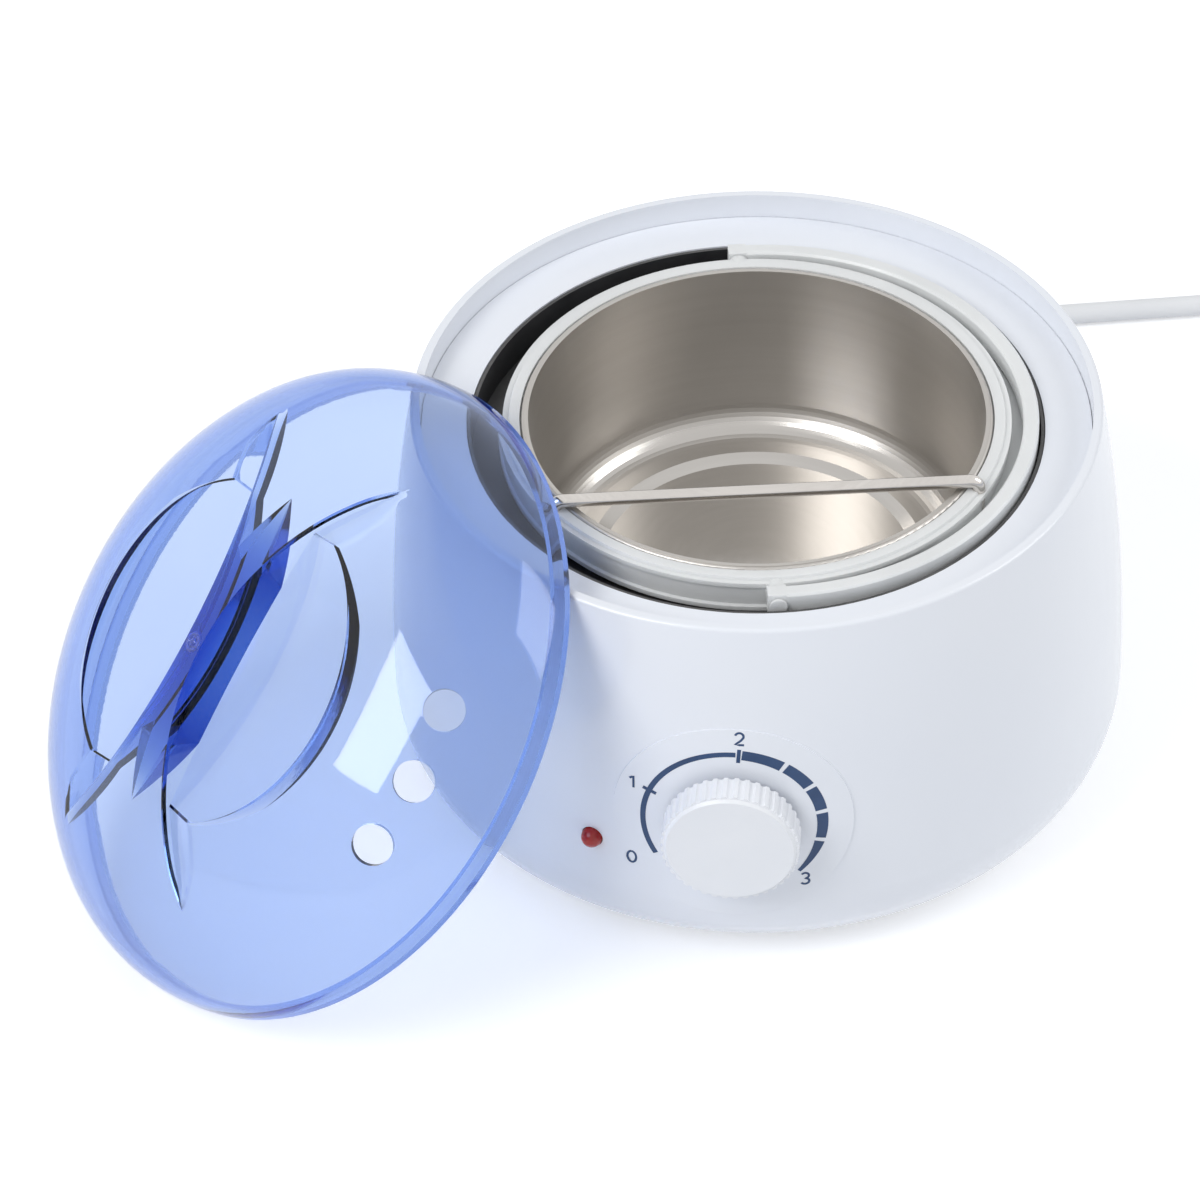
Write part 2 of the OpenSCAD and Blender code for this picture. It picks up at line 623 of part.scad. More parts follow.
// Half section of the lid's solid dome, shrunk by t
module dome_section(t) {
    p32 = lid_c3 + (lid_arc - t)*[cos(lid_a), sin(lid_a)];
    p21 = lid_c2 + (lid_mid - t)*[cos(lid_b), sin(lid_b)];
    x32 = p32[0];
    x21 = p21[0];
    polygon([[0, 0], [lid_r - t, 0], [lid_r - t, lid_band], p32, p21, [0, lid_h - t]]);
    intersection() {
        translate(lid_c1) circle(r = lid_top - t, $fn = 360);
        square([x21, lid_h]);
    }
    intersection() {
        translate(lid_c2) circle(r = lid_mid - t, $fn = 180);
        translate([x21, 0]) square([x32 - x21, lid_h]);
    }
    intersection() {
        translate(lid_c3) circle(r = lid_arc - t);
        translate([x32, lid_band]) square([lid_r - t - x32, lid_h]);
    }
    translate([x32, 0]) square([lid_r - t - x32, lid_band]);
}
module dome_hollow() {
    intersection() {
        dome_section(lid_wall);
        translate([0, bead_h]) square([lid_r, lid_h]);
    }
    translate([0, -over]) square([lid_r - bead_w, bead_h + over]);
}
// The two pockets, grown by g, and by h on the side of the ridge
module pockets(g, h) for (s = [-1, 1]) intersection() {
    translate([s*(ridge_w/2 + lens_in), 0, 0]) cylinder(h = 2*lid_h, r = lens_in + h, $fn = 240);
    translate([s*(pocket_reach - lens_out), 0, 0]) cylinder(h = 2*lid_h, r = lens_out + g);
    translate([0, 0, lid_h - pocket_depth + lens_floor]) rotate([0, 90, 0])
        cylinder(h = 2*lid_r, r = lens_floor + g, center = true, $fn = 240);
}

module lid() color([0.35, 0.5, 0.92, 0.6]) at_lid() difference() {
    rotate_extrude() dome_section(0);
    pockets(0, 0);
    difference() {
        rotate_extrude() dome_hollow();
        pockets(lid_wall, ridge_w/2 + 0.5);
    }
    for (i = [-1:1]) rotate([0, 0, i*vent_step]) translate([vent_at, 0, 0])
        rotate([0, 40, 0]) cylinder(h = 2*lid_arc, d = vent_d, center = true);
}

body_shell();
top_ring();
base_plate();
foot_ring();
base_screws();
heating_well();
well_screws();
heater_plate();
insulation_sleeve();
thermal_fuse();
thermostat();
thermostat_nut();
control_knob();
knob_shaft();
lamp_lens();
lamp_holder();
terminal_block();
inner_leads();
cord_gland();
cord_lead();
cord_coil();
coil_tie();
plug_body();
plug_pins();
pot_bowl();
pot_collar();
pot_handle();
handle_pins();
wiper_bar();
lid();
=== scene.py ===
"""Wax warmer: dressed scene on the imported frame. Metres, table at z = 0, knob towards -Y."""
import json
import math
import bpy
import bmesh
from mathutils import Matrix, Vector


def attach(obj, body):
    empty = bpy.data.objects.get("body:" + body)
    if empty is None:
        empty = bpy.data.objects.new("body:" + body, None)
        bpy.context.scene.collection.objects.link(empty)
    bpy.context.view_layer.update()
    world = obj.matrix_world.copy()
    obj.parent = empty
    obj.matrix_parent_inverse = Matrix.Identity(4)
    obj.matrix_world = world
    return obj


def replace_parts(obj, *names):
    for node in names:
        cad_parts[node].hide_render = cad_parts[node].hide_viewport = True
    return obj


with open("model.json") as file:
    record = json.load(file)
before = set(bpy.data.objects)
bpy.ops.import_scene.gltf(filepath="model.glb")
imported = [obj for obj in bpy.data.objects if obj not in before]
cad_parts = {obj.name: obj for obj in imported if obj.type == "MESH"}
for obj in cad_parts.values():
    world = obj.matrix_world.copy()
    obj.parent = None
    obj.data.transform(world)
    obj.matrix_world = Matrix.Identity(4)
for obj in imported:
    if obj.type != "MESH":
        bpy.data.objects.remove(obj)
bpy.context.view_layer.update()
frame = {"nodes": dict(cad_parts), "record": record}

nodes = frame["nodes"]
scene = bpy.context.scene
scene.view_settings.view_transform = "Standard"

# Body: largest radius, arc of its side, height of its widest place, dial field above the side, knob's axis
BODY_R, SIDE_R, WIDE_Z, DIAL_RAISE, KNOB_Z = 0.090, 0.440301, 0.0267, 0.00035, 0.0507

# Cord: diameter, point where it leaves the gland, smoothing steps between two route points
CORD_D, GLAND_TIP, CORD_STEPS = 0.0055, (0.0, 0.113451, 0.014), 4
# Coil: direction it starts in, inner radius, pitch of its turns, second layer's height, loops in each layer
COIL_WAY = math.atan2(2.5, 14.0)
COIL_IN, COIL_PITCH, COIL_LAYER, COIL_LOOPS = 0.0231, 0.00625, 0.00615, 2.25
# Coil's points in degrees, and how far the step up to the second layer bends inwards
COIL_STEP, COIL_DIP = 15.0, 0.0013
# Plug: height of its middle, cord between coil and plug, the slope down to the plug and its points
PLUG_HALF, COIL_TAIL, TAIL_RUN, TAIL_POINTS = 0.00685, 0.040, 0.028, 7


def placed(name, data):
    """A new object in the scene."""
    obj = bpy.data.objects.new(name, data)
    scene.collection.objects.link(obj)
    return obj


def mesh_object(name, mesh):
    """A new object from a built mesh, which is used up."""
    data = bpy.data.meshes.new(name)
    mesh.to_mesh(data)
    mesh.free()
    return placed(name, data)


# Camera

def photo_camera():
    data = bpy.data.cameras.new("photo_camera")
    data.lens = 192.42
    data.sensor_width = 36.0
    data.shift_x = -0.1308
    data.clip_start = 0.05
    camera = placed("photo_camera", data)
    camera.location = (0.0775, -1.1828, 1.0832)
    camera.rotation_euler = (math.radians(48.724), 0.0, math.radians(3.75))
    scene.camera = camera


photo_camera()


# Cord: the route of the solids, rounded between their points

def cord_route():
    # Lead in millimetres: right of the gland's tip, behind it, height
    lead = [(0, 0, 14), (0, 6, 14), (0, 11, 13.8875), (0, 16, 13.4375), (2, 26, 11.6375), (7, 35, 8.9375),
            (15, 41.5, 6.125), (25, 45, 3.875), (38, 47.5, 2.8625), (52, 50, 2.75), (66, 52.5, 2.75),
            (80, 55, 2.75), (94, 57.5, 2.75), (108, 60, 2.75), (122, 62.5, 2.75), (136, 65, 2.9),
            (150, 67.5, 3.95), (157, 68.75, 4.25), (164, 70, 4.25)]
    route = [Vector((x / 1000, GLAND_TIP[1] + y / 1000, z / 1000)) for x, y, z in lead]
    along = Vector((math.cos(COIL_WAY), math.sin(COIL_WAY), 0.0))
    outer = COIL_IN + COIL_PITCH * COIL_LOOPS
    middle = route[-1] + along * CORD_D + Vector((-along.y, along.x, 0.0)) * outer
    inward = 360.0 * COIL_LOOPS
    upward = inward + 180.0
    for i in range(round((upward + inward) / COIL_STEP) + 1):
        a = COIL_STEP * i
        if a < inward:
            radius, rise = outer - COIL_PITCH * a / 360.0, 0.0
        elif a > upward:
            radius, rise = COIL_IN + COIL_PITCH * (a - upward) / 360.0, COIL_LAYER
        else:
            turn = math.radians(a - inward)
            radius, rise = COIL_IN - COIL_DIP * math.sin(turn) ** 2, COIL_LAYER * (1 - math.cos(turn)) / 2
        b = math.radians(a - 90.0) + COIL_WAY
        route.append(middle + Vector((radius * math.cos(b), radius * math.sin(b), rise)))
    leave = route[-1].copy()
    drop = leave.z - PLUG_HALF
    route.append(leave + along * CORD_D)
    for i in range(TAIL_POINTS):
        step = leave + along * (COIL_TAIL - TAIL_RUN + TAIL_RUN * i / TAIL_POINTS)
        route.append(step - Vector((0, 0, drop * (1 - math.cos(math.pi * i / (TAIL_POINTS - 1))) / 2)))
    end = leave + along * COIL_TAIL
    route.append(Vector((end.x, end.y, PLUG_HALF)))
    return route


def rounded(points, steps):
    """A smooth path through the points, with so many steps between two of them."""
    path = []
    for i in range(len(points) - 1):
        p0, p1 = points[max(i - 1, 0)], points[i]
        p2, p3 = points[i + 1], points[min(i + 2, len(points) - 1)]
        for k in range(steps):
            t = k / steps
            path.append(0.5 * (2 * p1 + (p2 - p0) * t + (2 * p0 - 5 * p1 + 4 * p2 - p3) * t ** 2
                               + (3 * p1 - p0 - 3 * p2 + p3) * t ** 3))
    return path + [points[-1]]


def mains_cord():
    path = rounded(cord_route(), CORD_STEPS)
    data = bpy.data.curves.new("mains_cord", "CURVE")
    data.dimensions = "3D"
    data.bevel_depth = 1.0  # times each point's radius
    data.bevel_resolution = 5
    data.use_fill_caps = True
    spline = data.splines.new("POLY")
    spline.points.add(len(path) - 1)
    for point, place in zip(spline.points, path):
        point.co = (*place, 1.0)
        point.radius = CORD_D / 2
    spline.use_smooth = True
    cord = placed("mains_cord", data)
    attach(cord, "base")
    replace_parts(cord, "cord_lead", "cord_coil")
    return cord


cord = mains_cord()


# Shader groups

# Moulded skin: part of the clouds that shows, and their height against the grain's
CLOUD_SHOWS, CLOUD_SWELL = (0.35, 0.7), 3.0
# Drawn metal: how far the lines drift in one turn, their contrast, size of the patches
LINE_DRIFT, LINE_CONTRAST, PATCH_SIZE = 2.2, 2.2, 38.0


def new_group(name, inputs, outputs):
    group = bpy.data.node_groups.new(name, "ShaderNodeTree")
    for label, kind, value in inputs:
        socket = group.interface.new_socket(label, in_out="INPUT", socket_type="NodeSocket" + kind)
        socket.default_value = value
    for label, kind in outputs:
        group.interface.new_socket(label, in_out="OUTPUT", socket_type="NodeSocket" + kind)
    return group, group.nodes.new("NodeGroupInput"), group.nodes.new("NodeGroupOutput")


def add(tree, kind, **settings):
    node = tree.nodes.new("ShaderNode" + kind)
    for key, value in settings.items():
        setattr(node, key, value)
    return node


def fill(node, **values):
    """Sets sockets by name, with _ for a space."""
    for label, value in values.items():
        node.inputs[label.replace("_", " ")].default_value = value


def feed(tree, socket, value):
    """Links an output to the socket, or sets a plain value."""
    if hasattr(value, "is_linked"):
        tree.links.new(value, socket)
    else:
        socket.default_value = value


def math_node(tree, operation, *values, clamp=False):
    node = add(tree, "Math", operation=operation, use_clamp=clamp)
    for socket, value in zip(node.inputs, values):
        feed(tree, socket, value)
    return node.outputs[0]


def noise(tree, vector, scale, detail=2.0, rough=0.5):
    node = add(tree, "TexNoise")
    tree.links.new(vector, node.inputs["Vector"])
    feed(tree, node.inputs["Scale"], scale)
    fill(node, Detail=detail, Roughness=rough)
    return node.outputs["Fac"]


def mix_colour(tree, factor, a, b):
    node = add(tree, "Mix", data_type="RGBA")
    tree.links.new(factor, node.inputs["Factor"])
    tree.links.new(a, node.inputs[6])  # the colour pair of the node's inputs
    tree.links.new(b, node.inputs[7])
    return node.outputs[2]


def moulded_skin_group():
    group, inlet, outlet = new_group(
        "moulded_skin",
        [("Color", "Color", (0.8, 0.8, 0.8, 1)), ("Cloud Color", "Color", (0.7, 0.7, 0.7, 1)),
         ("Cloud Size", "Float", 20.0), ("Roughness", "Float", 0.3), ("Haze", "Float", 0.1),
         ("Grain Size", "Float", 900.0)],
        [("Color", "Color"), ("Roughness", "Float"), ("Height", "Float")])
    place = add(group, "TexCoord").outputs["Object"]
    cloud = noise(group, place, inlet.outputs["Cloud Size"], detail=3.0)
    soft = add(group, "MapRange")
    group.links.new(cloud, soft.inputs["Value"])
    fill(soft, From_Min=CLOUD_SHOWS[0], From_Max=CLOUD_SHOWS[1])
    tone = mix_colour(group, soft.outputs[0], inlet.outputs["Color"], inlet.outputs["Cloud Color"])
    group.links.new(tone, outlet.inputs["Color"])
    fine = noise(group, place, inlet.outputs["Grain Size"])
    haze = math_node(group, "MULTIPLY", math_node(group, "SUBTRACT", cloud, 0.5), inlet.outputs["Haze"])
    sparkle = math_node(group, "MULTIPLY", math_node(group, "SUBTRACT", fine, 0.5), inlet.outputs["Haze"])
    change = math_node(group, "ADD", haze, sparkle)
    total = math_node(group, "ADD", inlet.outputs["Roughness"], change, clamp=True)
    group.links.new(total, outlet.inputs["Roughness"])
    height = math_node(group, "ADD", fine, math_node(group, "MULTIPLY", cloud, CLOUD_SWELL))
    group.links.new(height, outlet.inputs["Height"])
    return group


def drawn_metal_group():
    group, inlet, outlet = new_group(
        "drawn_metal",
        [("Color", "Color", (0.7, 0.7, 0.7, 1)), ("Streak Color", "Color", (0.5, 0.5, 0.5, 1)),
         ("Roughness", "Float", 0.3), ("Spread", "Float", 0.15), ("Lines", "Float", 900.0)],
        [("Color", "Color"), ("Roughness", "Float"), ("Height", "Float")])
    place = add(group, "TexCoord").outputs["Object"]
    split = add(group, "SeparateXYZ")
    group.links.new(place, split.inputs[0])
    x, y, z = split.outputs
    radius = math_node(group, "SQRT", math_node(group, "ADD", math_node(group, "MULTIPLY", x, x),
                                                math_node(group, "MULTIPLY", y, y)))
    turn = math_node(group, "ARCTAN2", y, x)
    join = add(group, "CombineXYZ")
    group.links.new(math_node(group, "MULTIPLY", radius, inlet.outputs["Lines"]), join.inputs[0])
    group.links.new(math_node(group, "MULTIPLY", z, inlet.outputs["Lines"]), join.inputs[1])
    drift = math_node(group, "MULTIPLY", math_node(group, "SINE", turn), LINE_DRIFT)
    group.links.new(drift, join.inputs[2])
    lines = noise(group, join.outputs[0], scale=1.0, detail=3.0, rough=0.6)
    patch = noise(group, place, PATCH_SIZE, detail=3.0)
    both = math_node(group, "MULTIPLY", lines, patch)
    shade = math_node(group, "MULTIPLY", both, LINE_CONTRAST, clamp=True)
    group.links.new(mix_colour(group, shade, inlet.outputs["Streak Color"], inlet.outputs["Color"]),
                    outlet.inputs["Color"])
    change = math_node(group, "SUBTRACT", math_node(group, "ADD", lines, patch), 1.0)
    spread = math_node(group, "MULTIPLY", change, inlet.outputs["Spread"])
    total = math_node(group, "ADD", inlet.outputs["Roughness"], spread, clamp=True)
    group.links.new(total, outlet.inputs["Roughness"])
    group.links.new(lines, outlet.inputs["Height"])
    return group


def settled_dust_group():
    group, inlet, outlet = new_group(
        "settled_dust",
        [("Color", "Color", (0.8, 0.8, 0.8, 1)), ("Dust Color", "Color", (0.75, 0.74, 0.72, 1)),
         ("Amount", "Float", 0.1)],
        [("Color", "Color")])
    place = add(group, "TexCoord").outputs["Object"]
    up = add(group, "SeparateXYZ")
    group.links.new(add(group, "NewGeometry").outputs["Normal"], up.inputs[0])
    faces_up = math_node(group, "MAXIMUM", up.outputs[2], 0.0)
    specks = noise(group, place, scale=160.0, detail=4.0, rough=0.7)
    drifts = noise(group, place, scale=24.0)
    spots = math_node(group, "MULTIPLY", specks, drifts)
    settled = math_node(group, "MULTIPLY", spots, faces_up)
    amount = math_node(group, "MULTIPLY", settled, inlet.outputs["Amount"], clamp=True)
    group.links.new(mix_colour(group, amount, inlet.outputs["Color"], inlet.outputs["Dust Color"]),
                    outlet.inputs["Color"])
    return group


MOULDED_SKIN = moulded_skin_group()
DRAWN_METAL = drawn_metal_group()
SETTLED_DUST = settled_dust_group()


# Materials

# Heights between which the pot turns from polished to satin, and the polished share of its roughness
POLISH_BAND, POLISH = (0.0562, 0.0600), 0.35
# Depth of the lines in drawn metal
DRAWN_DEPTH = 0.00001


def empty_tree(block):
    """The cleared node tree of a material or world."""
    block.use_nodes = True
    block.node_tree.nodes.clear()
    return block.node_tree


def new_material(name):
    material = bpy.data.materials.new(name)
    tree = empty_tree(material)
    shader = add(tree, "BsdfPrincipled")
    output = add(tree, "OutputMaterial")
    tree.links.new(shader.outputs[0], output.inputs["Surface"])
    return material, tree, shader


def place_group(tree, group, **values):
    node = add(tree, "Group", node_tree=group)
    fill(node, **values)
    return node


def bump(tree, shader, height, strength, distance):
    node = add(tree, "Bump")
    fill(node, Strength=strength, Distance=distance)
    tree.links.new(height, node.inputs["Height"])
    tree.links.new(node.outputs[0], shader.inputs["Normal"])


def colour(r, g, b):
    return (r, g, b, 1.0)


def moulded(name, base, cloud, rough, haze=0.06, cloud_size=22.0, grain=1400.0, depth=0.00002,
            dust=0.0, **sockets):
    material, tree, shader = new_material(name)
    skin = place_group(tree, MOULDED_SKIN, Color=colour(*base), Cloud_Color=colour(*cloud),
                       Cloud_Size=cloud_size, Roughness=rough, Haze=haze, Grain_Size=grain)
    tone = skin.outputs["Color"]
    if dust:
        layer = place_group(tree, SETTLED_DUST, Amount=dust)
        tree.links.new(tone, layer.inputs["Color"])
        tone = layer.outputs["Color"]
    tree.links.new(tone, shader.inputs["Base Color"])
    tree.links.new(skin.outputs["Roughness"], shader.inputs["Roughness"])
    bump(tree, shader, skin.outputs["Height"], strength=0.25, distance=depth)
    fill(shader, **sockets)
    return material


def drawn(name, base, streak, rough, spread=0.12):
    material, tree, shader = new_material(name)
    skin = place_group(tree, DRAWN_METAL, Color=colour(*base), Streak_Color=colour(*streak),
                       Roughness=rough, Spread=spread, Lines=900.0)
    tree.links.new(skin.outputs["Color"], shader.inputs["Base Color"])
    tree.links.new(skin.outputs["Roughness"], shader.inputs["Roughness"])
    bump(tree, shader, skin.outputs["Height"], strength=0.3, distance=DRAWN_DEPTH)
    fill(shader, Metallic=1.0)
    return material


def pot_metal():
    """Satin wall and rim; towards the floor the roughness falls, so the floor is polished."""
    material, tree, shader = new_material("pot_metal")
    skin = place_group(tree, DRAWN_METAL, Color=colour(0.54, 0.52, 0.495),
                       Streak_Color=colour(0.48, 0.46, 0.435), Roughness=0.40, Spread=0.06, Lines=420.0)
    split = add(tree, "SeparateXYZ")
    tree.links.new(add(tree, "TexCoord").outputs["Object"], split.inputs[0])
    height = add(tree, "MapRange", interpolation_type="SMOOTHSTEP")
    tree.links.new(split.outputs[2], height.inputs["Value"])
    fill(height, From_Min=POLISH_BAND[0], From_Max=POLISH_BAND[1], To_Min=POLISH, To_Max=1.0)
    tree.links.new(skin.outputs["Color"], shader.inputs["Base Color"])
    rough = math_node(tree, "MULTIPLY", skin.outputs["Roughness"], height.outputs[0])
    tree.links.new(rough, shader.inputs["Roughness"])
    bump(tree, shader, skin.outputs["Height"], strength=0.25, distance=DRAWN_DEPTH)
    fill(shader, Metallic=1.0)
    return material


def lid_clear():
    """Clear plastic that is blue through its thickness."""
    material, tree, shader = new_material("lid_clear")
    skin = place_group(tree, MOULDED_SKIN, Color=colour(0.93, 0.95, 1.0),
                       Cloud_Color=colour(0.90, 0.93, 1.0), Cloud_Size=30.0, Roughness=0.03, Haze=0.03,
                       Grain_Size=900.0)
    tree.links.new(skin.outputs["Color"], shader.inputs["Base Color"])
    tree.links.new(skin.outputs["Roughness"], shader.inputs["Roughness"])
    bump(tree, shader, skin.outputs["Height"], strength=0.1, distance=0.00002)
    fill(shader, Transmission_Weight=1.0, IOR=1.49)
    volume = add(tree, "VolumeAbsorption")
    fill(volume, Color=colour(0.20, 0.45, 0.84), Density=330.0)
    output = next(n for n in tree.nodes if n.type == "OUTPUT_MATERIAL")
    tree.links.new(volume.outputs[0], output.inputs["Volume"])
    return material


# One finish for each material slot: base colour, its cloudy or streaked tone, then the rest by name
FINISHES = {
    "white_shell": moulded(
        "white_shell", (0.84, 0.865, 0.92), (0.82, 0.85, 0.915), rough=0.22, haze=0.06, cloud_size=14.0,
        grain=1600.0, depth=0.00001, dust=0.25, Coat_Weight=0.25, Coat_Roughness=0.08),
    "white_knob": moulded(
        "white_knob", (0.86, 0.875, 0.91), (0.83, 0.85, 0.89), rough=0.38, haze=0.08, cloud_size=60.0,
        grain=2200.0, depth=0.00002, dust=0.2),
    "foot_rubber": moulded(
        "foot_rubber", (0.035, 0.035, 0.037), (0.05, 0.05, 0.052), rough=0.75, haze=0.15, cloud_size=80.0,
        grain=2600.0, depth=0.00005, dust=0.4),
    "screw_steel": drawn("screw_steel", (0.62, 0.62, 0.63), (0.48, 0.48, 0.5), rough=0.35),
    # Near-black well wall, so the gap round the pot's collar renders as a dark ring
    "well_coating": moulded(
        "well_coating", (0.018, 0.018, 0.02), (0.028, 0.028, 0.03), rough=0.5, haze=0.15, cloud_size=90.0,
        grain=3000.0, depth=0.00003, dust=0.3),
    "heater_metal": drawn("heater_metal", (0.55, 0.54, 0.52), (0.42, 0.41, 0.39), rough=0.5),
    "insulation": moulded(
        "insulation", (0.78, 0.74, 0.62), (0.66, 0.62, 0.5), rough=0.95, haze=0.05, cloud_size=140.0,
        grain=700.0, depth=0.0003),
    "fuse_case": drawn("fuse_case", (0.6, 0.5, 0.3), (0.46, 0.38, 0.22), rough=0.4),
    "switch_plastic": moulded("switch_plastic", (0.05, 0.05, 0.055), (0.07, 0.07, 0.075), rough=0.5),
    "shaft_metal": drawn("shaft_metal", (0.66, 0.66, 0.67), (0.52, 0.52, 0.53), rough=0.3),
    "lamp_red": moulded(
        "lamp_red", (0.60, 0.012, 0.010), (0.42, 0.006, 0.006), rough=0.10, haze=0.04, cloud_size=300.0,
        grain=3000.0, depth=0.00001, Transmission_Weight=0.25, IOR=1.5),
    "fitting_plastic": moulded("fitting_plastic", (0.78, 0.76, 0.68), (0.72, 0.70, 0.62), rough=0.5),
    "wire_sheath": moulded("wire_sheath", (0.33, 0.32, 0.30), (0.28, 0.27, 0.25), rough=0.6),
    "cord_sheath": moulded(
        "cord_sheath", (0.89, 0.90, 0.92), (0.86, 0.87, 0.89), rough=0.42, haze=0.1, cloud_size=70.0,
        grain=2400.0, depth=0.00003, dust=0.3),
    "tie_plastic": moulded("tie_plastic", (0.03, 0.03, 0.032), (0.045, 0.045, 0.047), rough=0.5),
    "plug_plastic": moulded(
        "plug_plastic", (0.82, 0.835, 0.87), (0.79, 0.81, 0.85), rough=0.4, haze=0.1, cloud_size=60.0,
        grain=2000.0, depth=0.00003, dust=0.3),
    "pin_metal": drawn("pin_metal", (0.75, 0.75, 0.76), (0.62, 0.62, 0.63), rough=0.18),
    "pot_metal": pot_metal(),
    "milky_plastic": moulded(
        "milky_plastic", (0.79, 0.80, 0.80), (0.74, 0.75, 0.75), rough=0.34, haze=0.1, cloud_size=45.0,
        grain=1800.0, depth=0.00003, dust=0.1, Subsurface_Weight=0.6, Subsurface_Radius=(1.0, 1.0, 1.0),
        Subsurface_Scale=0.002, IOR=1.45),
    "bar_wire": drawn("bar_wire", (0.72, 0.69, 0.66), (0.60, 0.57, 0.54), rough=0.16, spread=0.06),
    "lid_clear": lid_clear(),
}
INK = moulded(
    "dial_ink", (0.012, 0.045, 0.13), (0.02, 0.06, 0.16), rough=0.45, haze=0.1, cloud_size=200.0,
    grain=3000.0, depth=0.00001)

# Angles above which an edge of a solid, and of the lid, stays sharp
SHARP_EDGE, LID_SHARP_EDGE = math.radians(32), math.radians(20)


def dress_nodes():
    for part in frame["record"]["subparts"]:
        obj = nodes[part["node"]]
        obj.data.materials.clear()
        obj.data.materials.append(FINISHES[part["material_slot"]])
        obj.data.shade_smooth()
        obj.data.set_sharp_from_angle(angle=SHARP_EDGE)
    cord.data.materials.append(FINISHES["cord_sheath"])


dress_nodes()


# Dial print: thin ink pieces laid on the raised dial field

# Ink's underside and top above the field
INK_FOOT, INK_TOP = 0.00001, 0.00006
# Scale: radius, width of its thin line, the line's start and stop angle and steps
SCALE_R, THIN_LINE, THIN_ARC = 0.0212, 0.0013, (211, 88, 48)
# Ticks: line width, then each one's angle, inner and outer radius
TICK_LINE, TICKS = 0.0009, ((158, 0.0194, 0.0228), (86, 0.0190, 0.0228))
# Bars: steps, then each one's start and stop angle, first and last width
BAR_STEPS = 12
BARS = ((84, 57, 0.0026, 0.0027), (54, 33, 0.0027, 0.0028), (30, 11, 0.0028, 0.0027),
        (8, -12, 0.0027, 0.0024), (-15, -42, 0.0024, 0.0009))
# Numbers: height, line width, and where each one stands
NUMBER_H, NUMBER_LINE = 0.0034, 0.00055
NUMBER_SPOTS = ((-0.0240, 0.0352), (-0.0236, 0.0584), (0.0016, 0.0748), (0.0172, 0.0322))


def on_dial(x, z, lift):
    """The point of the dial field in front of (x, z), lifted off it."""
    radius = BODY_R - SIDE_R + math.sqrt(SIDE_R ** 2 - (z - WIDE_Z) ** 2) + DIAL_RAISE + lift
    return Vector((x, -math.sqrt(radius ** 2 - x ** 2), z))


def ink_stroke(mesh, line, widths):
    """One closed thin solid along a line of (x, z) points on the dial."""
    rings = []
    for i, (x, z) in enumerate(line):
        ax, az = line[max(i - 1, 0)]
        bx, bz = line[min(i + 1, len(line) - 1)]
        run = math.hypot(bx - ax, bz - az)
        nx, nz = -(bz - az) / run, (bx - ax) / run
        w = widths[i] / 2
        ring = [(x + nx * w, z + nz * w, INK_TOP), (x - nx * w, z - nz * w, INK_TOP),
                (x - nx * w, z - nz * w, INK_FOOT), (x + nx * w, z + nz * w, INK_FOOT)]
        rings.append([mesh.verts.new(on_dial(*p)) for p in ring])
    for a, b in zip(rings, rings[1:]):
        for k in range(4):
            mesh.faces.new((a[k], a[(k + 1) % 4], b[(k + 1) % 4], b[k]))
    mesh.faces.new(rings[0])
    mesh.faces.new(reversed(rings[-1]))


def dial_spot(radius, angle):
    """The (x, z) point at this radius and angle about the knob's axis."""
    a = math.radians(angle)
    return radius * math.cos(a), KNOB_Z + radius * math.sin(a)


def dial_arc(radius, start, stop, count):
    return [dial_spot(radius, start + (stop - start) * i / count) for i in range(count + 1)]


def print_piece(name, strokes):
    mesh = bmesh.new()
    for line, widths in strokes:
        ink_stroke(mesh, line, widths)
    bmesh.ops.recalc_face_normals(mesh, faces=mesh.faces)
    piece = mesh_object(name, mesh)
    piece.data.materials.append(INK)
    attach(piece, "base")


def dial_scale():
    thin = dial_arc(SCALE_R, *THIN_ARC)
    strokes = [(thin, [THIN_LINE] * len(thin))]
    for angle, inner, outer in TICKS:
        tick = [dial_spot(r, angle) for r in (inner, (inner + outer) / 2, outer)]
        strokes.append((tick, [TICK_LINE] * len(tick)))
    for start, stop, first, last in BARS:
        line = dial_arc(SCALE_R, start, stop, BAR_STEPS)
        strokes.append((line, [first + (last - first) * i / BAR_STEPS for i in range(len(line))]))
    print_piece("dial_scale", strokes)


def bow(middle, wide, high, angles):
    """Points of an upright ellipse about (0, middle)."""
    return [(wide * math.cos(math.radians(a)), middle + high * math.sin(math.radians(a))) for a in angles]


def dial_numbers():
    nought = bow(0.5, 0.31, 0.5, range(90, -271, -15))
    one = [(-0.22, 0.78), (-0.05, 0.90), (0.06, 1.0), (0.06, 0.5), (0.06, 0.0)]
    two = bow(0.71, 0.29, 0.29, range(165, -31, -15))
    two += [(0.10, 0.36), (-0.30, 0.02), (0.0, 0.0), (0.33, 0.0)]
    three = bow(0.75, 0.26, 0.25, range(150, -91, -15)) + bow(0.24, 0.29, 0.26, range(75, -151, -15))
    strokes = []
    for shape, (x, z) in zip((nought, one, two, three), NUMBER_SPOTS):
        line = [(x + NUMBER_H * u, z + NUMBER_H * v) for u, v in shape]
        strokes.append((line, [NUMBER_LINE] * len(line)))
    print_piece("dial_numbers", strokes)


dial_scale()
dial_numbers()


# Lid: clear dome with two long finger pockets, the grip ridge between them and three vents, in millimetres

# Arcs of the dome's outline, edge to top: middle's x and z, radius, start and stop angle, steps
LID_ARCS = ((51.8, 1.5, 28.2, 0, 40, 16),
            (36.0195, -11.7414, 48.8, 40, 72, 14),
            (0.0, -122.598, 165.362, 72, 90, 16))
# Edge's radius, height, wall, width and height of the bead round the mouth
LID_EDGE, LID_TOP, LID_WALL, BEAD_W, BEAD_H = 80.0, 42.7635, 2.0, 3.2, 4.0
# Lean on the body: side it is on, tilt, turn about its own axis, all in degrees
LID_SIDE, LID_TILT, LID_SPIN = 210.4, 47.0681, 105.0
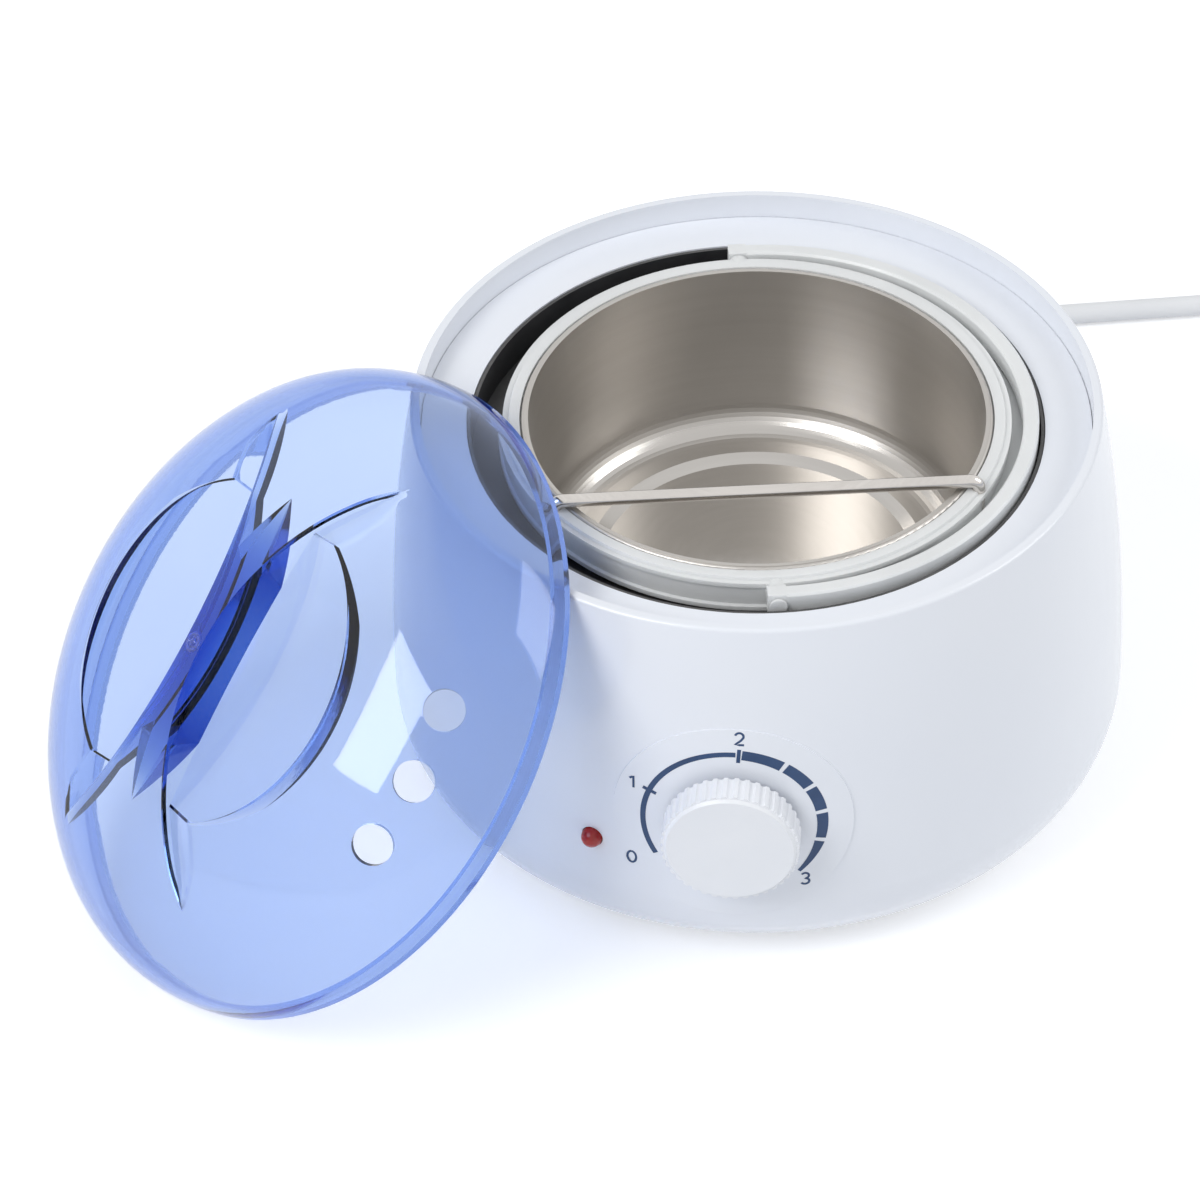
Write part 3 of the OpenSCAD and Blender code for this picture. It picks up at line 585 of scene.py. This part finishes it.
# Distance of the mouth's middle from the body's axis
LID_REACH = 115.99
# Ridge: half its width on top, radius of its flanks, their draft, half width and half length of its core
RIDGE_HALF, RIDGE_ARC, RIDGE_DRAFT, RIDGE_CORE = 3.0, 85.0, 0.22, (8.0, 40.0)
# Pockets: reach of the outer side and its radius, depth, radius of the floor, its rise in degrees
POCKET_REACH, POCKET_ARC, POCKET_DEPTH, POCKET_FLOOR, POCKET_RISE = 45.5, 40.0, 11.0, 160.0, 4.0
# Pockets' flat ends: a point on one of them, its slopes across and along the ridge
END_SPOT, END_SLOPE = Vector((22.4, 36.5, LID_TOP - 5.5)), (0.10, -0.393)
# Vents: diameter, distance from the axis, degrees between two, length of their cutter
VENT_D, VENT_AT, VENT_STEP, VENT_CUT = 9.8, 69.4, 14.7, 16.0
# Gate mark: radius and height above the ridge, from its middle outwards and back below
MARK_LINE = ((0.0, 0.45), (0.5, 0.42), (0.85, 0.22), (1.05, 0.04), (1.5, 0.04), (1.75, 0.24),
             (2.05, 0.28), (2.35, 0.20), (2.6, -0.05), (0.0, -0.05))
# Facets round each form
DOME_FACETS, HOLLOW_FACETS, FLANK_FACETS, FLOOR_FACETS = 240, 234, 360, 480
VENT_FACETS, MARK_FACETS = 64, 32
# Hollow: a small turn that keeps its facets off the dome's, and its start below the mouth
HOLLOW_TURN, HOLLOW_START = 0.0071, -1.0
MILLIMETRE = 0.001
# A radius below this is on the axis
ON_AXIS = 0.0001


def turned(profile, count):
    """A closed solid of revolution; the profile starts and ends on the axis."""
    mesh = bmesh.new()
    rings = []
    for r, z in profile:
        if r < ON_AXIS:
            rings.append([mesh.verts.new((0.0, 0.0, z))] * count)
        else:
            turns = [math.tau * k / count for k in range(count)]
            rings.append([mesh.verts.new((r * math.cos(a), r * math.sin(a), z)) for a in turns])
    for a, b in zip(rings, rings[1:]):
        for k in range(count):
            corners = [a[k], b[k], b[(k + 1) % count], a[(k + 1) % count]]
            mesh.faces.new(list(dict.fromkeys(corners)))
    bmesh.ops.recalc_face_normals(mesh, faces=mesh.faces)
    return mesh


def post(place, low, high, length, count=DOME_FACETS):
    """A round post about its middle, with its lower and upper radius."""
    mesh = bmesh.new()
    bmesh.ops.create_cone(mesh, cap_ends=True, segments=count, radius1=low, radius2=high,
                          depth=length, matrix=place)
    return mesh


def carve(mesh, cutter, operation):
    """Joins or cuts two closed meshes, which are used up."""
    pair = [mesh_object("carving", part) for part in (mesh, cutter)]
    step = pair[0].modifiers.new("carve", "BOOLEAN")
    step.operation, step.solver, step.object = operation, "MANIFOLD", pair[1]
    carved = pair[0].evaluated_get(bpy.context.evaluated_depsgraph_get())
    result = bmesh.new()
    result.from_mesh(carved.to_mesh())
    carved.to_mesh_clear()
    for obj in pair:
        data = obj.data
        bpy.data.objects.remove(obj)
        bpy.data.meshes.remove(data)
    return result


def dome_line(shrink):
    """The dome's outline from edge to top, this far inside its outer side."""
    line = []
    for x, z, radius, start, stop, count in LID_ARCS:
        for i in range(1 if line else 0, count + 1):
            a = math.radians(start + (stop - start) * i / count)
            line.append((x + (radius - shrink) * math.cos(a), z + (radius - shrink) * math.sin(a)))
    return line


def ridge_flank(side, grow):
    """The drafted post whose side is one flank of the ridge."""
    reach = RIDGE_ARC + grow
    place = Matrix.Translation((side * (RIDGE_HALF + RIDGE_ARC), 0.0, LID_TOP))
    draft = LID_TOP * RIDGE_DRAFT
    return post(place, reach - draft, reach + draft, 2 * LID_TOP, FLANK_FACETS)


def pocket_floor(rise, grow):
    """The lying post whose lower side is a pocket's floor."""
    place = (Matrix.Translation((0.0, 0.0, LID_TOP - POCKET_DEPTH + POCKET_FLOOR))
             @ Matrix.Rotation(math.radians(90.0 - rise), 4, "Y"))
    return post(place, POCKET_FLOOR + grow, POCKET_FLOOR + grow, 4 * LID_EDGE, FLOOR_FACETS)


def pocket_end(side, end, grow):
    """The block whose underside is the flat end of a pocket."""
    up = Vector((-END_SLOPE[0] * side, -END_SLOPE[1] * end, 1.0)).normalized()
    spot = Vector((END_SPOT.x * side, END_SPOT.y * end, END_SPOT.z)) - up * grow
    block = bmesh.new()
    place = (Matrix.Translation(spot + up * LID_EDGE)
             @ up.to_track_quat("Z", "Y").to_matrix().to_4x4())
    bmesh.ops.create_cube(block, size=2 * LID_EDGE, matrix=place)
    return block


def pocket(side, grow):
    """The cutter of one pocket; grown by the wall, it stays out of the hollow."""
    outer = Matrix.Translation((side * (POCKET_REACH - POCKET_ARC), 0.0, LID_TOP))
    scoop = carve(post(outer, POCKET_ARC + grow, POCKET_ARC + grow, 3 * LID_TOP),
                  pocket_floor(side * POCKET_RISE, grow), "INTERSECT")
    for end in (-1, 1):
        scoop = carve(scoop, pocket_end(side, end, grow), "UNION")
    return carve(scoop, ridge_flank(side, grow), "INTERSECT")


def pocketed(solid, grow):
    for side in (-1, 1):
        solid = carve(solid, pocket(side, grow), "DIFFERENCE")
    return solid


def ridge_core():
    """The lens inside the ridge that stays solid."""
    half, reach = RIDGE_CORE
    arc = (reach ** 2 + half ** 2) / (2 * half)
    core = pocket_floor(0.0, LID_WALL / 2)
    for side in (-1, 1):
        place = Matrix.Translation((side * (arc - half), 0.0, LID_TOP))
        core = carve(core, post(place, arc, arc, LID_TOP), "INTERSECT")
    for side in (-1, 1):
        core = carve(core, ridge_flank(side, LID_WALL / 2), "DIFFERENCE")
    return core


def vent(turn):
    """The cutter of one vent, square to the dome."""
    x, z, radius = LID_ARCS[1][:3]
    lean = math.asin((VENT_AT - x) / radius)
    place = (Matrix.Rotation(math.radians(turn), 4, "Z")
             @ Matrix.Translation((VENT_AT, 0.0, z + radius * math.cos(lean)))
             @ Matrix.Rotation(lean, 4, "Y"))
    return post(place, VENT_D / 2, VENT_D / 2, VENT_CUT, VENT_FACETS)


LID_RISE = LID_EDGE * math.sin(math.radians(LID_TILT))
LID_PLACE = (Matrix.Rotation(math.radians(LID_SIDE), 4, "Z")
             @ Matrix.Translation((LID_REACH * MILLIMETRE, 0.0, LID_RISE * MILLIMETRE))
             @ Matrix.Rotation(math.radians(LID_TILT), 4, "Y")
             @ Matrix.Rotation(math.radians(LID_SPIN), 4, "Z")
             @ Matrix.Scale(MILLIMETRE, 4))


def lid_piece(name, mesh):
    mesh.transform(LID_PLACE)
    piece = mesh_object(name, mesh)
    piece.data.shade_smooth()
    piece.data.set_sharp_from_angle(angle=LID_SHARP_EDGE)
    piece.data.materials.append(FINISHES["lid_clear"])
    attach(piece, "lid")
    return piece


def clear_lid():
    dome = turned([(0.0, 0.0), (LID_EDGE, 0.0)] + dome_line(0.0), DOME_FACETS)
    mouth = LID_EDGE - BEAD_W
    x, z, radius = LID_ARCS[0][:3]
    at_bead = x + math.sqrt((radius - LID_WALL) ** 2 - (BEAD_H - z) ** 2)
    inner = [(0.0, HOLLOW_START), (mouth, HOLLOW_START), (mouth, BEAD_H), (at_bead, BEAD_H)]
    inner += [p for p in dome_line(LID_WALL) if p[1] > BEAD_H]
    hollow = turned(inner, HOLLOW_FACETS)
    hollow.transform(Matrix.Rotation(HOLLOW_TURN, 4, "Z"))
    hollow = carve(pocketed(hollow, LID_WALL), ridge_core(), "DIFFERENCE")
    dome = carve(pocketed(dome, 0.0), hollow, "DIFFERENCE")
    for i in (-1, 0, 1):
        dome = carve(dome, vent(i * VENT_STEP), "DIFFERENCE")
    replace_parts(lid_piece("clear_lid", dome), "lid")


def gate_mark():
    """The low ring and nub where the lid was moulded, on top of its grip ridge."""
    lid_piece("gate_mark", turned([(r, LID_TOP + z) for r, z in MARK_LINE], MARK_FACETS))


clear_lid()
gate_mark()


# Table and light

# Table: half its side, height just under the feet, glow towards the camera
TABLE_HALF, TABLE_Z, TABLE_GLOW = 4.0, -0.0004, 0.45
BODY_MIDDLE = (0, 0, 0.05)


def seen(tree):
    """1 on the camera's own, mirrored and see-through rays, 0 on those that light the part."""
    rays = add(tree, "LightPath").outputs
    bent = math_node(tree, "MAXIMUM", rays["Is Glossy Ray"], rays["Is Transmission Ray"])
    return math_node(tree, "MAXIMUM", rays["Is Camera Ray"], bent)


def pale_table():
    mesh = bmesh.new()
    corners = ((-TABLE_HALF, -TABLE_HALF), (TABLE_HALF, -TABLE_HALF),
               (TABLE_HALF, TABLE_HALF), (-TABLE_HALF, TABLE_HALF))
    mesh.faces.new([mesh.verts.new((x, y, TABLE_Z)) for x, y in corners])
    table = mesh_object("pale_table", mesh)
    material = bpy.data.materials.new("pale_table")
    tree = empty_tree(material)
    matt = add(tree, "BsdfDiffuse")
    fill(matt, Color=colour(0.80, 0.81, 0.83))
    glow = add(tree, "Emission")
    fill(glow, Color=colour(1.0, 1.0, 1.0))
    tree.links.new(math_node(tree, "MULTIPLY", seen(tree), TABLE_GLOW), glow.inputs["Strength"])
    both = add(tree, "AddShader")
    tree.links.new(matt.outputs[0], both.inputs[0])
    tree.links.new(glow.outputs[0], both.inputs[1])
    output = add(tree, "OutputMaterial")
    tree.links.new(both.outputs[0], output.inputs["Surface"])
    table.data.materials.append(material)


def soft_sky():
    """A dim room that lights the part, and plain white behind it."""
    world = bpy.data.worlds.new("soft_sky")
    tree = empty_tree(world)
    room = add(tree, "Background")
    fill(room, Color=colour(0.96, 0.98, 1.0), Strength=0.5)
    white = add(tree, "Background")
    fill(white, Color=colour(1.0, 1.0, 1.0), Strength=1.0)
    mix = add(tree, "MixShader")
    tree.links.new(seen(tree), mix.inputs[0])
    tree.links.new(room.outputs[0], mix.inputs[1])
    tree.links.new(white.outputs[0], mix.inputs[2])
    output = add(tree, "OutputWorld")
    tree.links.new(mix.outputs[0], output.inputs["Surface"])
    scene.world = world


def soft_box(name, place, size, power):
    """A flat light that faces the body."""
    data = bpy.data.lights.new(name, "AREA")
    data.shape = "RECTANGLE"
    data.size, data.size_y = size
    data.energy = power
    lamp = placed(name, data)
    lamp.location = place
    lamp.rotation_euler = (Vector(BODY_MIDDLE) - Vector(place)).to_track_quat("-Z", "Y").to_euler()


pale_table()
soft_sky()
soft_box("front_left_box", place=(-0.9, -0.9, 1.3), size=(0.9, 0.9), power=16.0)
soft_box("right_box", place=(1.2, 0.1, 0.9), size=(0.7, 0.9), power=6.0)

bpy.context.view_layer.update()
